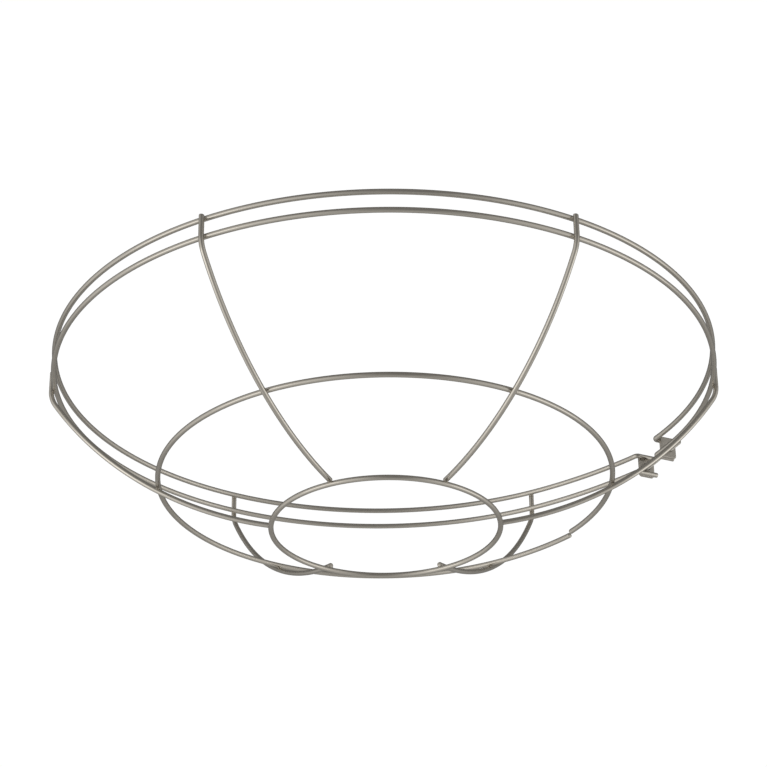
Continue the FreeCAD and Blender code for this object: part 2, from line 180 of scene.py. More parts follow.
def cutEnds(points, directions, ends):
    # At a cut end the rows follow a quarter round of radius c: along = end - c (1 - sin a),
    # r = R - c (1 - cos a); smaller rings then rise to the dome. Dome and slope x R are taken off
    # the length, so that the piece stays as long as its path.
    c = ends["round"]
    a = np.radians(wireMesh["edgeTurns"])
    along, shrink = -c * (1 - np.sin(a)), wireRadius - c * (1 - np.cos(a))
    pulledIn = ends["dome"] + ends["slope"] * wireRadius
    along = np.append(along, ends["dome"] * np.array(wireMesh["faceRise"])) - pulledIn
    shrink = np.append(shrink, shrink[-1] * np.array(wireMesh["faceRings"]))
    start = points[0] - directions[0] * along[::-1, None]
    finish = points[-1] + directions[-1] * along[:, None]
    away = np.minimum(np.linalg.norm(points - points[0], axis=1),
                      np.linalg.norm(points - points[-1], axis=1))
    inside = away > c * wireMesh["clearOfEdge"] + pulledIn
    rows = len(along)
    return (np.vstack([start, points[inside], finish]),
            np.vstack([np.repeat(directions[:1], rows, 0), directions[inside],
                       np.repeat(directions[-1:], rows, 0)]),
            np.concatenate([shrink[::-1], np.full(inside.sum(), wireRadius), shrink]), rows)


def wireSurface(run, origin, axes, closed=False, ends=None):
    # A circle carried along a plane path: P(u) + r(u) (cos v n(u) + sin v e3), n = direction turned
    # a quarter in the plane. A cut face leans along the wire by slope x r cos(v + slopeTurn).
    around = wireMesh["around"]
    points, directions = run
    if closed:
        points, directions = points[:-1], directions[:-1]
        radii = np.full(len(points), wireRadius)
    else:
        points, directions, radii, endRows = cutEnds(points, directions, ends)
    travelled = np.append(0, np.cumsum(np.linalg.norm(np.diff(points, axis=0), axis=1)))
    e1, e2, e3 = (np.asarray(axis, float) for axis in axes)
    toSpace = lambda flat: flat[:, :1] * e1 + flat[:, 1:] * e2
    normals = toSpace(np.column_stack([directions[:, 1], -directions[:, 0]]))
    v = np.linspace(0, 2 * np.pi, around, endpoint=False)
    ring = np.cos(v)[None, :, None] * normals[:, None] + np.sin(v)[None, :, None] * e3
    surface = (np.asarray(origin, float) + toSpace(points))[:, None] + radii[:, None, None] * ring
    faces = gridFaces(len(points), around, closedRows=closed)
    if not closed:
        lean = np.zeros(len(points))
        lean[:endRows], lean[-endRows:] = -ends["slope"], ends["slope"]
        tilt = (lean * radii)[:, None] * np.cos(v + ends["slopeTurn"])[None]
        surface = surface + tilt[..., None] * toSpace(directions)[:, None]
        faces += endFaces(len(points), around)
    size = (len(points), around)
    straight = np.stack([np.broadcast_to(wireRadius * np.cos(v), size),
                         np.broadcast_to(wireRadius * np.sin(v), size),
                         np.broadcast_to(travelled[:, None], size)], -1)
    return surface.reshape(-1, 3), turnFaces(faces), straight.reshape(-1, 3)


def joinSurfaces(*surfaces):
    # one after another, each one's corner numbers raised by the points before it
    counts = np.cumsum([0] + [len(s[0]) for s in surfaces])
    faces = [[corner + int(n) for corner in face]
             for s, n in zip(surfaces, counts) for face in s[1]]
    return np.vstack([s[0] for s in surfaces]), faces, np.vstack([s[2] for s in surfaces])


# where two wires cross, melted metal fills the corner between them; heat is how far the
# discoloured metal reaches

weld = {"spread": 1.36, "reachOut": 0.5, "hollow": 0.16, "uneven": 0.045, "heat": 2.6,
        "around": 36, "rows": 7, "waves": (1, 2, 3, 5), "anyPhase": 6.28,
        "sunk": 0.03, "leastSquare": 0.02, "hidden": 0.5}
weldPlaces = []


def weldCollar(middle, normal, underWire, overWire, seed, runOn):
    # For each turn p about the contact normal, a bowed strip from the lower wire to the upper one:
    # feet at distance spread + reachOut cos^2(p from that wire's line), each on its own cylinder,
    # height -+ (d/2 - sqrt(R^2 - across^2)); the strip is drawn in by hollow sin(pi s). Against its
    # own direction the upper wire runs on only by runOn, and its feet go no further. A last row,
    # inside the metal, closes the collar.
    middle, n, a, b = (np.asarray(x, float) for x in (middle, normal, underWire, overWire))
    weldPlaces.append(middle)
    p = np.linspace(0, 2 * np.pi, weld["around"], endpoint=False)
    chance = np.random.default_rng(seed)
    wobble = sum(chance.normal(0, 1) * np.cos(k * p + chance.uniform(0, weld["anyPhase"])) / k
                 for k in weld["waves"])
    distance = (weld["spread"] + weld["uneven"] * wobble)[:, None]
    plan = np.cos(p)[:, None] * a + np.sin(p)[:, None] * np.cross(n, a)
    feet = []
    for wire, sign in ((a, -1), (b, 1)):
        flat = (distance + weld["reachOut"] * (plan @ wire)[:, None] ** 2) * plan
        if sign > 0:
            short = np.maximum(-runOn - flat @ wire, 0)
            flat = flat + short[:, None] * wire
        across = np.linalg.norm(flat - (flat @ wire)[:, None] * wire, axis=1)
        rise = np.sqrt(np.maximum(wireRadius ** 2 - across ** 2, weld["leastSquare"]))
        height = sign * (weldReach / 2 - rise + weld["sunk"])
        feet.append(middle + flat + height[:, None] * n)
    s = np.linspace(0, 1, weld["rows"])[:, None, None]
    strip = feet[0] * (1 - s) + feet[1] * s - weld["hollow"] * np.sin(np.pi * s) * plan
    strip = np.concatenate([strip, (middle + weld["hidden"] * plan)[None]]).reshape(-1, 3)
    return strip, gridFaces(weld["rows"] + 1, weld["around"], closedRows=True), strip


def makeBottomRing():
    # a closed circle that rests on z = 0
    run = arcRun((0, 0), cage["bottomRadius"], 0, 2 * math.pi)
    return wireSurface(run, (0, 0, wireRadius), np.eye(3), closed=True)


def makeMiddleRing():
    # true circle from the free angle round to the butt joint; the other end springs outward on a
    # wider arc that leaves the circle at the free angle: radius = |chord|^2 / (2 chord . outward)
    ring = {"jointAngle": 31.3, "jointGap": 3.4, "jointOffset": 2.8,
            "cut": {"round": 0.75, "dome": 0.25, "slope": 0.07, "slopeTurn": 0.8}}
    radius, turn = cage["middleRadius"], math.radians(ring["jointAngle"])
    free = math.radians(cage["freeAngle"]) - turn
    leave, tip = polar(radius, free), np.array([radius + ring["jointOffset"], ring["jointGap"]])
    chord = leave - tip
    flareRadius = chord @ chord / (2 * chord @ polar(1, free))
    centre = leave - polar(flareRadius, free)
    run = joinRuns(arcRun(centre, flareRadius, angleOf(tip - centre), free),
                   arcRun((0, 0), radius, free, 2 * math.pi))
    axes = ((math.cos(turn), math.sin(turn), 0), (-math.sin(turn), math.cos(turn), 0), (0, 0, 1))
    return wireSurface(run, (0, 0, cage["middleHeight"]), axes, ends=ring["cut"])


# past: how far a tail runs beyond its plate's edge
rimSet = {
    "bend": 2.5, "setBack": 7.0, "spacing": 1.0,
    "nearPast": 0.2, "upperPast": 0.2, "lowerPast": 1.4,
    "upperCut": {"round": 0.6, "dome": 0.12, "slope": 0.08, "slopeTurn": 0.4},
    "lowerCut": {"round": 0.6, "dome": 0.12, "slope": 0.08, "slopeTurn": 2.6},
}


def makeRim(height, sprungPast, cut):
    # Tail, tight bend, sprung arc, true circle, tight bend, tail. The sprung arc touches the circle
    # at the free angle, along u, and the bend about f from outside: its centre lies
    # (|f|^2 - reach^2) / (2 (f . u - reach)) along u
    radius, bend, spacing = cage["rimRadius"], rimSet["bend"], rimSet["spacing"]
    reach, free = radius + bend, math.radians(cage["freeAngle"]) - clampTurn
    nearY, farY = clampY - tailOffset - bend, clampY + tailOffset + bend
    near = np.array([math.sqrt(reach ** 2 - nearY ** 2), nearY])
    far = np.array([clampX - rimSet["setBack"], farY])
    outward = polar(1, free)
    back = (far @ far - reach ** 2) / (2 * (far @ outward - reach))
    centre, flareRadius = outward * back, radius - back
    farTurn, nearTurn = angleOf(centre - far), angleOf(-near)
    farTurn -= 2 * math.pi if farTurn > -math.pi / 2 else 0
    nearTurn += 2 * math.pi if nearTurn < math.pi / 2 else 0
    nearEnd = plateEdge + rimSet["nearPast"] - cage["tappedShift"]
    run = joinRuns(
        lineRun((plateEdge + sprungPast, farY - bend), (far[0], farY - bend), spacing),
        arcRun(far, bend, -math.pi / 2, farTurn),
        arcRun(centre, flareRadius, angleOf(far - centre), free),
        arcRun((0, 0), radius, free, angleOf(near) + 2 * math.pi),
        arcRun(near, bend, nearTurn, math.pi / 2),
        lineRun((near[0], nearY + bend), (nearEnd, nearY + bend), spacing))
    return wireSurface(run, (0, 0, height), clampAxes, ends=cut)


# past: beyond the bottom ring's centre line; weldBack: how far welds stay from a rib's cut end
ribSet = {
    "rise": 1.7, "bendDrop": 0.5, "bend": 18.0, "past": 1.4,
    "angles": (0.5, 60.2, 119.4, 179.0, 240.0, 301.0),
    "leans": (0.6, 0.0, 0.0, 0.0, -0.7, 0.5),
    "names": ("One", "Two", "Three", "Four", "Five", "Six"),
    "uprightSpacing": 1.5, "bendSpacing": 1.0, "arcSpacing": 2.5,
    "cut": {"round": 0.62, "dome": 0.12, "slope": 0.10}, "cutTurn": 1.1, "weldBack": 0.75,
}


def ribArc():
    # The circle that touches the bend from outside, passes outside the middle ring and over the
    # bottom ring, each by the weld's reach a: |C-M| = R - a, |C-B| = R + a, |C-K| = R - bend.
    # Differences of the squares are linear in C and R; the first square then gives R.
    middle = np.array([cage["middleRadius"], cage["middleHeight"]])
    bottom = np.array([cage["bottomRadius"], wireRadius])
    bend = np.array([cage["rimRadius"] + weldReach - ribSet["bend"], lowerRim - ribSet["bendDrop"]])
    spots = np.array([middle, bottom, bend])
    extra = np.array([-weldReach, weldReach, -ribSet["bend"]])
    system = 2 * (spots[1:] - spots[0])
    squares = (spots[1:] ** 2).sum(1) - (spots[0] ** 2).sum() - (extra[1:] ** 2 - extra[0] ** 2)
    fixed = np.linalg.solve(system, squares)
    slope = np.linalg.solve(system, -2 * (extra[1:] - extra[0]))
    away = fixed - spots[0]
    qa, qb = slope @ slope - 1, 2 * (slope @ away - extra[0])
    root = math.sqrt(qb * qb - 4 * qa * (away @ away - extra[0] ** 2))
    radius = max((-qb + root) / (2 * qa), (-qb - root) / (2 * qa))
    return fixed + slope * radius, radius, middle, bottom, bend


def makeRib(index):
    # upright run, bend, long arc, in the plane through the upright run that leans from the axis;
    # with its four welds, to the two rims, the middle ring and the bottom ring
    centre, radius, middle, bottom, bend = ribArc()
    upright = bend[0] + ribSet["bend"]
    bendEnd = angleOf(bend - centre)
    lowEnd = -math.acos((cage["bottomRadius"] - ribSet["past"] - centre[0]) / radius)
    run = joinRuns(
        lineRun((upright, cage["upperRim"] + ribSet["rise"]), (upright, bend[1]),
                ribSet["uprightSpacing"]),
        arcRun(bend, ribSet["bend"], 0, bendEnd, ribSet["bendSpacing"]),
        arcRun(centre, radius, bendEnd, lowEnd, ribSet["arcSpacing"]))
    angle = math.radians(ribSet["angles"][index])
    lean = angle + math.radians(ribSet["leans"][index])
    origin = np.append(polar(upright, angle) - polar(upright, lean), 0)
    e1, e2 = np.append(polar(1, lean), 0), np.array([0, 0, 1.0])
    e3 = np.cross(e1, e2)
    toSpace = lambda flat: flat[0] * e1 + flat[1] * e2
    ends = dict(ribSet["cut"], slopeTurn=ribSet["cutTurn"] * index)
    surfaces = [wireSurface(run, origin, (e1, e2, e3), ends=ends)]
    back = ribSet["weldBack"]
    seats = [((cage["rimRadius"], cage["upperRim"]), (1, 0), ribSet["rise"] - back),
             ((cage["rimRadius"], lowerRim), (1, 0), weldReach),
             (middle, (middle - centre) / np.linalg.norm(middle - centre), weldReach),
             (bottom, (centre - bottom) / np.linalg.norm(centre - bottom), ribSet["past"] - back)]
    for number, (spot, normal, runOn) in enumerate(seats):
        place = origin + toSpace(np.asarray(spot) + np.asarray(normal) * weldReach / 2)
        ribLine = toSpace((normal[1], -normal[0]))
        seed = 10 * index + number
        surfaces.append(weldCollar(place, toSpace(normal), e3, ribLine, seed, runOn))
    return joinSurfaces(*surfaces)


plateSet = {
    "corner": 2.0, "edge": 0.45, "holeEdge": 0.25, "tappedHole": 2.4, "plainHole": 2.7,
    "cornerSteps": 9, "sideSteps": 10, "edgeSteps": 6, "faceShares": (0.25, 0.5, 0.75),
    # weld metal along each tail, on the plate's inner face
    "beadStart": -4.6, "beadFinish": 3.4, "beadBearing": 62.0, "beadFoot": 2.0, "beadLeast": 0.62,
    "beadHollow": 0.12, "beadUneven": 0.12, "beadColumns": 28, "beadRows": 6, "beadBlur": 7,
    "beadSunk": 0.04, "beadHidden": 0.2, "beadSeed": 40,
}


def platePlace(points):
    # from the clamp's own axes, X out, Y across the plates, Z up, to the shared frame
    return points @ np.array(clampAxes)


def plateOutline(inset, shift):
    # rounded rectangle: corner centres plus a quarter circle each, straight sides between, inset
    # evenly and moved outward by shift from the screw's axis
    half = np.array([cage["plateWidth"], cage["plateHeight"]]) / 2 - plateSet["corner"]
    radius = plateSet["corner"] - inset
    t = np.linspace(0, np.pi / 2, plateSet["cornerSteps"])
    signs = ((1, -1), (1, 1), (-1, 1), (-1, -1))
    corners = [half * sign + radius * np.column_stack([np.cos(t + turn), np.sin(t + turn)])
               for sign, turn in zip(signs, np.arange(-1, 3) * np.pi / 2)]
    share = np.linspace(0, 1, plateSet["sideSteps"])[1:-1, None]
    sides = [corners[k][-1] * (1 - share) + corners[(k + 1) % 4][0] * share for k in range(4)]
    return np.vstack([part for k in range(4) for part in (corners[k], sides[k])]) + (shift, 0)


def makePlate(side, holeRadius):
    # A closed loop of rings: hole wall, face outward to the rim, rounded edge, and the same back
    # again on the other face; each ring is (1 - w) circle + w outline, at depth d
    thickness, edge, holeEdge = cage["plateThickness"], plateSet["edge"], plateSet["holeEdge"]
    a = np.radians(np.linspace(0, 90, plateSet["edgeSteps"]))
    shift = -cage["tappedShift"] if side < 0 else 0
    outline, face = plateOutline(0, shift), plateOutline(edge, shift)
    circle = outline / np.linalg.norm(outline, axis=1)[:, None]
    half = [((holeRadius + holeEdge * (1 - math.cos(t))) * circle, holeEdge * (1 - math.sin(t)))
            for t in a]
    half += [(circle * (holeRadius + holeEdge) * (1 - w) + face * w, 0)
             for w in plateSet["faceShares"]]
    half += [(plateOutline(edge * (1 - math.sin(t)), shift), edge * (1 - math.cos(t))) for t in a]
    rings = half + [(flat, thickness - depth) for flat, depth in half[::-1]]
    flat = np.stack([ring for ring, depth in rings])
    depth = np.array([depth for ring, depth in rings])[:, None]
    y = clampY + side * (cage["clampGap"] / 2 + depth) + 0 * flat[..., 0]
    points = np.stack([clampX + flat[..., 0], y, clampZ + flat[..., 1]], -1)
    points = platePlace(points).reshape(-1, 3)
    faces = gridFaces(len(rings), flat.shape[1], closedRows=True)
    if side > 0:
        faces = turnFaces(faces)
    beads = [plateBead(side, height, above)
             for height, above in ((cage["upperRim"], -1), (lowerRim, 1))]
    return joinSurfaces((points, faces, points), *beads)


def plateBead(side, height, above):
    # Weld metal in the corner between a tail and the plate's inner face, carried along the tail:
    # a strip from the wire's round, at bearing b from the plate's normal, to the face beside it,
    # closed by a row inside the metal and by its two ends
    columns, rows, blur = plateSet["beadColumns"], plateSet["beadRows"], plateSet["beadBlur"]
    x = np.linspace(plateSet["beadStart"], plateSet["beadFinish"], columns)
    chance = np.random.default_rng(int(height) + above + 5 * side + plateSet["beadSeed"])
    wobble = np.convolve(chance.normal(0, 1, columns + blur - 1), np.ones(blur) / blur, "valid")
    swell = np.sqrt(np.clip(1 - np.linspace(-1, 1, columns) ** 4, 0, 1))
    swell = swell * (1 + plateSet["beadUneven"] * wobble)
    bearing = math.radians(plateSet["beadBearing"]) * swell
    face, least = cage["clampGap"] / 2, wireRadius * plateSet["beadLeast"]
    foot = least + (plateSet["beadFoot"] - least) * swell
    s = np.linspace(0, 1, rows)[:, None]
    bow = plateSet["beadHollow"] * np.sin(np.pi * s) * swell
    across = (tailOffset + wireRadius * np.cos(bearing)) * (1 - s) + bow
    across = np.vstack([across + (face + plateSet["beadSunk"]) * s,
                        0 * x + face + plateSet["beadHidden"]])
    up = np.vstack([wireRadius * np.sin(bearing) * (1 - s) + foot * s - bow, 0 * x])
    points = np.stack([clampX + x + 0 * up, clampY + side * across, height + above * up], -1)
    points = platePlace(points).reshape(-1, 3)
    faces = gridFaces(rows + 1, columns, closedRows=True, closedColumns=False)
    firstEnd = [row * columns for row in range(rows + 1)]
    faces += [firstEnd, [corner + columns - 1 for corner in firstEnd[::-1]]]
    return points, turnFaces(faces) if side * above < 0 else faces, points


screwSet = {
    "diameter": 4.8, "length": 45.5, "pitch": 1.058, "depth": 0.60, "tip": 0.7,
    "crest": 0.12, "flank": 0.72, "around": 36, "rowsPerTurn": 10,
    "headDiameter": 9.4, "headHeight": 2.8, "headRim": 1.1, "slotWidth": 1.3, "slotDepth": 1.3,
    "slotWall": 0.02, "sections": 15, "bunch": 0.9, "lastSection": 0.9995,
    "topPoints": 31, "rimPoints": 4,
}


def screwPlace(across, along, up):
    # the screw's axis runs across the plates; along is measured out from the head's seat
    seat = clampY + cage["clampGap"] / 2 + cage["plateThickness"]
    return platePlace(np.stack([clampX + across, seat + along, clampZ + up], -1)).reshape(-1, 3)


def makeShank():
    # radius(h, t) = R - depth x flat-topped wave of (h / pitch - t / 2 pi), less at the tip's bevel
    around, length, pitch = screwSet["around"], screwSet["length"], screwSet["pitch"]
    h = np.append(np.arange(0, length, pitch / screwSet["rowsPerTurn"]), length)[:, None]
    t = np.linspace(0, 2 * np.pi, around, endpoint=False)[None]
    wave = np.abs(((h / pitch - t / (2 * np.pi)) % 1) * 2 - 1)
    groove = np.clip((wave - screwSet["crest"]) / screwSet["flank"], 0, 1)
    full = screwSet["diameter"] / 2
    bevel = full - screwSet["tip"] + np.maximum(length - h, 0)
    radius = np.minimum(full - screwSet["depth"] * groove, bevel)
    points = screwPlace(radius * np.cos(t), -h + 0 * t, radius * np.sin(t))
    return points, gridFaces(len(h), around) + endFaces(len(h), around), points


def makeHead():
    # Sections across the slot at x = h + (R - h) sin(a)^bunch, h half the slot; each is a closed
    # loop: over the top, down the rim, back under the seat. The dome is a sphere through crown and
    # rim, centre (crown^2 - rim^2 - R^2) / (2 (crown - rim)), cut down flat over the slot.
    radius, crown, rim = screwSet["headDiameter"] / 2, screwSet["headHeight"], screwSet["headRim"]
    half, floor = screwSet["slotWidth"] / 2, crown - screwSet["slotDepth"]
    a = np.linspace(0, np.pi / 2, screwSet["sections"])[1:]
    side = half + (radius - half) * np.sin(a) ** screwSet["bunch"]
    side[-1] = radius * screwSet["lastSection"]
    wall = half + screwSet["slotWall"]
    across = np.concatenate([-side[::-1], [-wall, -half, half, wall], side])[:, None]
    t = np.linspace(-1, 1, screwSet["topPoints"])[None]
    chord = np.sqrt(np.maximum(radius ** 2 - across ** 2, 0))
    centre = (crown ** 2 - rim ** 2 - radius ** 2) / (2 * (crown - rim))
    dome = centre + np.sqrt((crown - centre) ** 2 - across ** 2 - (chord * t) ** 2)
    inSlot = np.abs(across) < half + screwSet["slotWall"] / 2
    top = np.where(inSlot, np.minimum(dome, floor), dome)
    down = np.linspace(1, 0, screwSet["rimPoints"])[None, 1:]
    level = 0 * chord
    up = np.hstack([chord * t, chord + 0 * down, (chord * t[:, ::-1])[:, 1:],
                    -chord + 0 * down[:, :-1]])
    along = np.hstack([top, rim * down + level, 0 * t[:, 1:] + level,
                       rim * down[:, -2::-1] + level])
    points = screwPlace(up, along, across + 0 * up)
    return points, turnFaces(gridFaces(*up.shape) + endFaces(*up.shape)), points


# shader groups that the finishes share

def newGroup(name, inputs, outputs):
    # inputs as (label, kind, value), outputs as (label, kind); gives the group and its two sides
    group = bpy.data.node_groups.new(name, "ShaderNodeTree")
    for label, kind, value in inputs:
        socket = group.interface.new_socket(label, in_out="INPUT", socket_type=kind)
        if value is not None:
            socket.default_value = value
    for label, kind in outputs:
        group.interface.new_socket(label, in_out="OUTPUT", socket_type=kind)
    enter, leave = group.nodes.new("NodeGroupInput"), group.nodes.new("NodeGroupOutput")
    return group, enter.outputs, leave.inputs


def addNode(tree, kind, inputs=None, **settings):
    # a node with its settings; inputs maps a socket to a value or to another node's output
    node = tree.nodes.new(kind)
    for key, value in settings.items():
        setattr(node, key, value)
    for key, value in (inputs or {}).items():
        if isinstance(value, bpy.types.NodeSocket):
            tree.links.new(value, node.inputs[key])
        else:
            node.inputs[key].default_value = value
    return node


def addNoise(tree, place, scale, detail, roughness):
    # cloudy values about 0.5
    return addNode(tree, "ShaderNodeTexNoise", {"Vector": place, "Scale": scale, "Detail": detail,
                                                "Roughness": roughness}).outputs["Fac"]


def addMath(tree, operation, *values):
    # values joined by the operation
    return addNode(tree, "ShaderNodeMath", dict(enumerate(values)), operation=operation).outputs[0]


def addRange(tree, value, low, high, toLow=0.0, toHigh=1.0, kind="LINEAR"):
    # value from low..high to toLow..toHigh, held between them
    return addNode(tree, "ShaderNodeMapRange",
                   {"Value": value, "From Min": low, "From Max": high, "To Min": toLow,
                    "To Max": toHigh}, interpolation_type=kind).outputs[0]


def addBlend(tree, share, first, second):
    # first x (1 - share) + second x share, for two colours
    return addNode(tree, "ShaderNodeMix", {0: share, 6: first, 7: second},
                   data_type="RGBA").outputs[2]


def addBump(tree, height, depth, under=None):
    # normals of height x depth metres, laid over the normals under it
    inputs = {"Strength": 1.0, "Distance": depth, "Height": height}
    if under is not None:
        inputs["Normal"] = under
    return addNode(tree, "ShaderNodeBump", inputs).outputs[0]


def makeGrainGroup():
    # Fine lines that run along drawn wire: noise squeezed across the wire and stretched along it
    group, enter, leave = newGroup(
        "drawnGrain",
        [("Place", "NodeSocketVector", None), ("Lines", "NodeSocketFloat", 2600.0),
         ("Stretch", "NodeSocketFloat", 0.02)],
        [("Height", "NodeSocketFloat"), ("Broad", "NodeSocketFloat")])
    long = addNode(group, "ShaderNodeCombineXYZ", {"X": 1.0, "Y": 1.0, "Z": enter["Stretch"]})
    place = addNode(group, "ShaderNodeVectorMath", {0: enter["Place"], 1: long.outputs[0]},
                    operation="MULTIPLY").outputs[0]
    fine = addNoise(group, place, enter["Lines"], 3.0, 0.6)
    broadScale = addMath(group, "MULTIPLY", enter["Lines"], 0.22)
    group.links.new(fine, leave["Height"])
    group.links.new(addNoise(group, place, broadScale, 2.0, 0.5), leave["Broad"])
    return group


def makeMottleGroup():
    # Uneven plating: slow cloudy change, a fine orange peel and a few small dark pits
    group, enter, leave = newGroup(
        "platingMottle",
        [("Place", "NodeSocketVector", None), ("Cloud", "NodeSocketFloat", 22.0),
         ("Peel", "NodeSocketFloat", 900.0), ("Pits", "NodeSocketFloat", 260.0),
         ("Pit Size", "NodeSocketFloat", 0.075)],
        [("Cloud", "NodeSocketFloat"), ("Peel", "NodeSocketFloat"),
         ("Pit Mask", "NodeSocketFloat")])
    place = enter["Place"]
    cells = addNode(group, "ShaderNodeTexVoronoi",
                    {"Vector": place, "Scale": enter["Pits"], "Randomness": 1.0})
    rare = addNode(group, "ShaderNodeSeparateColor", {0: cells.outputs["Color"]}).outputs[0]
    few = addMath(group, "GREATER_THAN", rare, 0.965)      # the rest of the cells have no pit
    near = addRange(group, cells.outputs["Distance"], enter["Pit Size"], 0.0, kind="SMOOTHSTEP")
    group.links.new(addNoise(group, place, enter["Cloud"], 5.0, 0.55), leave["Cloud"])
    group.links.new(addNoise(group, place, enter["Peel"], 2.0, 0.5), leave["Peel"])
    group.links.new(addMath(group, "MULTIPLY", near, few), leave["Pit Mask"])
    return group


def makeToneGroup():
    # Two tones of one metal by a mask, darkened by pits and by heat
    group, enter, leave = newGroup(
        "metalTone",
        [("Light", "NodeSocketColor", (0.6, 0.57, 0.52, 1)),
         ("Dull", "NodeSocketColor", (0.5, 0.47, 0.42, 1)),
         ("Scorched", "NodeSocketColor", (0.2, 0.18, 0.16, 1)), ("Cloud", "NodeSocketFloat", 0.5),
         ("Pit Mask", "NodeSocketFloat", 0.0), ("Heat", "NodeSocketFloat", 0.0)],
        [("Color", "NodeSocketColor")])
    share = addRange(group, enter["Cloud"], 0.35, 0.68)
    body = addBlend(group, share, enter["Light"], enter["Dull"])
    dark = addMath(group, "MAXIMUM", enter["Pit Mask"], enter["Heat"])
    group.links.new(addBlend(group, dark, body, enter["Scorched"]), leave["Color"])
    return group


grainGroup, mottleGroup, toneGroup = makeGrainGroup(), makeMottleGroup(), makeToneGroup()


def newMaterial(name, metallic=1.0):
    # an empty material with one plain shader
    material = bpy.data.materials.new(name)
    material.use_nodes = True
    tree = material.node_tree
    tree.nodes.clear()
    shader = addNode(tree, "ShaderNodeBsdfPrincipled", {"Metallic": metallic})
    output = addNode(tree, "ShaderNodeOutputMaterial", {"Surface": shader.outputs[0]})
    return material, tree, shader, output


def newFinish(name, look):
    # plated metal in two tones, mixed by the mottle's cloud unless told otherwise
    material, tree, shader, _ = newMaterial(name)
    space = addNode(tree, "ShaderNodeTexCoord").outputs["Object"]
    mottle = addNode(tree, "ShaderNodeGroup",
                     {"Place": space, "Cloud": look["cloud"], "Peel": look["peel"]},
                     node_tree=mottleGroup).outputs
    tone = addNode(tree, "ShaderNodeGroup",
                   {"Light": look["light"], "Dull": look["dull"], "Scorched": look["scorched"],
                    "Cloud": mottle["Cloud"], "Pit Mask": mottle["Pit Mask"]},
                   node_tree=toneGroup)
    tree.links.new(tone.outputs["Color"], shader.inputs["Base Color"])
    return material, tree, shader, space, mottle, tone


def addHeat(tree, tone, look):
    # scorched tone near welds: weldHeat x heatTone
    heat = addNode(tree, "ShaderNodeAttribute", attribute_name="weldHeat").outputs["Fac"]
    tree.links.new(addMath(tree, "MULTIPLY", heat, look["heatTone"]), tone.inputs["Heat"])
    return heat


def addRoughness(tree, value, look):
    # smooth to rough as the value goes from 0.3 to 0.7
    return addRange(tree, value, 0.3, 0.7, look["smooth"], look["rough"])


def addGrain(tree, place, look):
    # the shared lines, at this finish's own width and stretch
    return addNode(tree, "ShaderNodeGroup",
                   {"Place": place, "Lines": look["lines"], "Stretch": look["stretch"]},
                   node_tree=grainGroup).outputs


def makeNickelWire():
    # satin nickel on drawn steel wire: lines along the wire, cloudy plating, dull grey at the welds
    look = {"light": (0.60, 0.57, 0.515, 1), "dull": (0.53, 0.50, 0.45, 1),
            "scorched": (0.24, 0.22, 0.195, 1), "smooth": 0.15, "rough": 0.22,
            "lines": 2400.0, "stretch": 0.02, "cloud": 22.0, "peel": 900.0, "streaks": 0.45,
            "lineDepth": 0.0000024, "peelDepth": 0.000002, "heatTone": 0.32, "heatRough": 0.12}
    material, tree, shader, _, mottle, tone = newFinish("nickelWire", look)
    straight = addNode(tree, "ShaderNodeAttribute", attribute_name="straightWire")
    grain = addGrain(tree, straight.outputs["Vector"], look)
    heat = addHeat(tree, tone, look)
    streaks = addNode(tree, "ShaderNodeMix",
                      {"Factor": look["streaks"], 2: mottle["Cloud"], 3: grain["Broad"]},
                      data_type="FLOAT")
    tree.links.new(streaks.outputs[0], tone.inputs["Cloud"])
    lines = addRoughness(tree, grain["Broad"], look)
    tree.links.new(addMath(tree, "MULTIPLY_ADD", heat, look["heatRough"], lines),
                   shader.inputs["Roughness"])
    drawn = addBump(tree, grain["Height"], look["lineDepth"])
    tree.links.new(addBump(tree, mottle["Peel"], look["peelDepth"], drawn), shader.inputs["Normal"])
    return material


def makePlateMetal():
    # stamped steel, nickel plated: cloudy, with the press's faint scratches one way
    look = {"light": (0.57, 0.54, 0.49, 1), "dull": (0.46, 0.435, 0.39, 1),
            "scorched": (0.20, 0.18, 0.16, 1), "smooth": 0.36, "rough": 0.50,
            "lines": 1500.0, "stretch": 0.05, "cloud": 160.0, "peel": 1100.0,
            "scratchDepth": 0.000006, "peelDepth": 0.000008, "heatTone": 0.32}
    material, tree, shader, space, mottle, tone = newFinish("plateNickel", look)
    turned = addNode(tree, "ShaderNodeMapping", {"Vector": space, "Rotation": (0, 0, -clampTurn)},
                     vector_type="POINT")
    grain = addGrain(tree, turned.outputs[0], look)
    addHeat(tree, tone, look)
    tree.links.new(addRoughness(tree, mottle["Cloud"], look), shader.inputs["Roughness"])
    scratch = addBump(tree, grain["Height"], look["scratchDepth"])
    tree.links.new(addBump(tree, mottle["Peel"], look["peelDepth"], scratch),
                   shader.inputs["Normal"])
    return material


def makeScrewZinc():
    # zinc on a machine screw: a cooler, duller metal with a fine peel
    look = {"light": (0.50, 0.48, 0.44, 1), "dull": (0.41, 0.395, 0.36, 1),
            "scorched": (0.22, 0.21, 0.19, 1), "smooth": 0.32, "rough": 0.46,
            "cloud": 240.0, "peel": 1600.0, "peelDepth": 0.000004}
    material, tree, shader, _, mottle, _ = newFinish("screwZinc", look)
    tree.links.new(addRoughness(tree, mottle["Cloud"], look), shader.inputs["Roughness"])
    tree.links.new(addBump(tree, mottle["Peel"], look["peelDepth"]), shader.inputs["Normal"])
    return material


nickelWire, plateNickel, screwZinc = makeNickelWire(), makePlateMetal(), makeScrewZinc()
print("finishes mixed")


